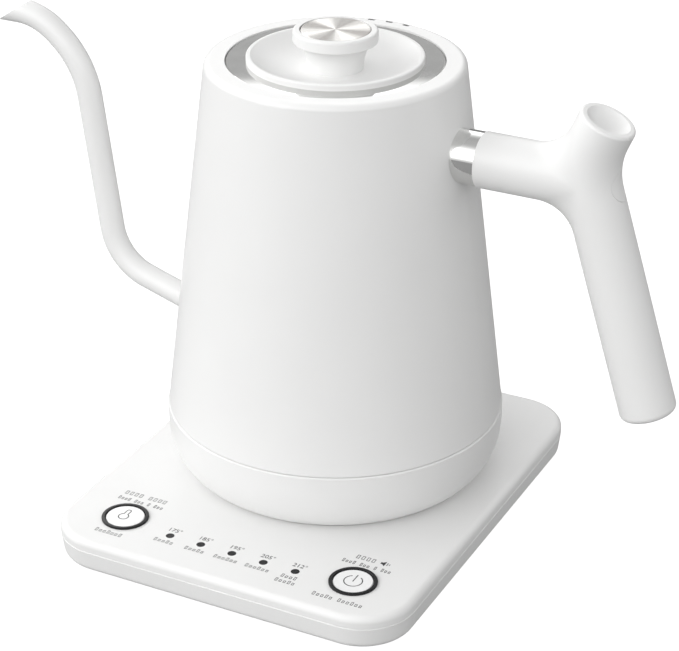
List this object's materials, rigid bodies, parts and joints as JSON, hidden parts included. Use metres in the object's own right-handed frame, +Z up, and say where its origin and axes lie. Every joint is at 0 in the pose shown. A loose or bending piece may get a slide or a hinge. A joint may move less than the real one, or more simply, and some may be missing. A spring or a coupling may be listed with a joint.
{
  "type": "gooseneck kettle",
  "caption": "Electric gooseneck pour-over kettle, tapered white pot with angled bar handle and knob lid, lifting off a flat power base with round buttons.",
  "frame": {"origin": "on the table plane, under the pot's vertical axis, at the face of the base's centre foot", "axes": "+Z up; +X from the pot's axis towards the handle, the spout is at -X; the controls are at -Y"},
  "size_m": [0.2941, 0.1844, 0.197],
  "materials": {
    "white_paint": "satin baked enamel",
    "white_plastic": "satin moulded plastic",
    "white_gloss": "gloss moulded plastic",
    "black_gloss": "gloss",
    "black_plastic": "fine moulded texture",
    "chrome": "polished",
    "polished_steel": "polished",
    "spun_steel": "radially spun",
    "brushed_steel": "brushed",
    "zinc_steel": "zinc plated",
    "aluminium": "machined",
    "element_sheath": "heat-darkened",
    "brass": "satin",
    "rubber": "matte",
    "grey_silicone": "matte translucent",
    "circuit_board": "solder mask",
    "led_white": "clear",
    "relay_blue": "moulded",
    "transformer_tape": "wound tape",
    "capacitor_sleeve": "shrink sleeve",
    "terminal_nylon": "moulded",
    "cutout_phenolic": "phenolic"
  },
  "bodies": {
    "base": {"base_top_cover": "white_plastic", "base_bottom_cover": "white_plastic", "base_feet": "rubber", "base_screws": "zinc_steel", "program_button_bezel": "black_gloss", "start_button_bezel": "black_gloss", "indicator_lens_1": "black_gloss", "indicator_lens_2": "black_gloss", "indicator_lens_3": "black_gloss", "indicator_lens_4": "black_gloss", "indicator_lens_5": "black_gloss", "indicator_leds": "led_white", "control_board": "circuit_board", "program_switch": "black_plastic", "start_switch": "black_plastic", "buzzer": "black_plastic", "power_board": "circuit_board", "relay": "relay_blue", "transformer": "transformer_tape", "capacitor": "capacitor_sleeve", "terminal_block": "terminal_nylon", "cord_gland": "black_plastic", "base_connector": "black_plastic", "base_centre_contact": "brass", "base_ring_contact": "brass"},
    "program_button": {"program_button_cap": "white_gloss", "program_switch_plunger": "black_plastic"},
    "start_button": {"start_button_cap": "white_gloss", "start_switch_plunger": "black_plastic"},
    "connector": {"kettle_connector": "black_plastic", "connector_pin": "brass", "connector_ring": "brass"},
    "kettle": {"kettle_shell": "white_paint", "spout": "white_paint", "bottom_skirt": "white_plastic", "skirt_screws": "zinc_steel", "seam_seal": "grey_silicone", "pot_floor": "brushed_steel", "heat_diffuser": "aluminium", "heating_element": "element_sheath", "temperature_probe": "polished_steel", "probe_seal": "grey_silicone", "thermal_cutout": "cutout_phenolic", "handle": "white_plastic", "handle_screw_cap": "white_plastic", "handle_washer": "zinc_steel", "handle_screw": "zinc_steel", "handle_stud": "brushed_steel", "handle_collar": "chrome"},
    "lid": {"lid_ring": "polished_steel", "lid_dish": "white_plastic", "lid_knob": "white_plastic", "knob_insert": "spun_steel", "lid_inner_cover": "brushed_steel", "lid_gasket": "grey_silicone", "lid_screw": "zinc_steel"}
  },
  "joints": [
    {"name": "kettle_lift", "type": "slide", "parent": "base", "child": "connector", "axis": [0, 0, 1], "range_m": [0, 0.06]},
    {"name": "kettle_turn", "type": "hinge", "parent": "connector", "child": "kettle", "pos_m": [0, 0, 0], "axis": [0, 0, 1], "continuous": true},
    {"name": "lid_lift", "type": "slide", "parent": "kettle", "child": "lid", "axis": [0, 0, 1], "range_m": [0, 0.05]},
    {"name": "program_button_press", "type": "slide", "parent": "base", "child": "program_button", "axis": [0, 0, -1], "range_m": [0, 0.0006], "stiffness_N_per_m": 2000, "springref_m": -0.0003},
    {"name": "start_button_press", "type": "slide", "parent": "base", "child": "start_button", "axis": [0, 0, -1], "range_m": [0, 0.0006], "stiffness_N_per_m": 2000, "springref_m": -0.0003}
  ]
}
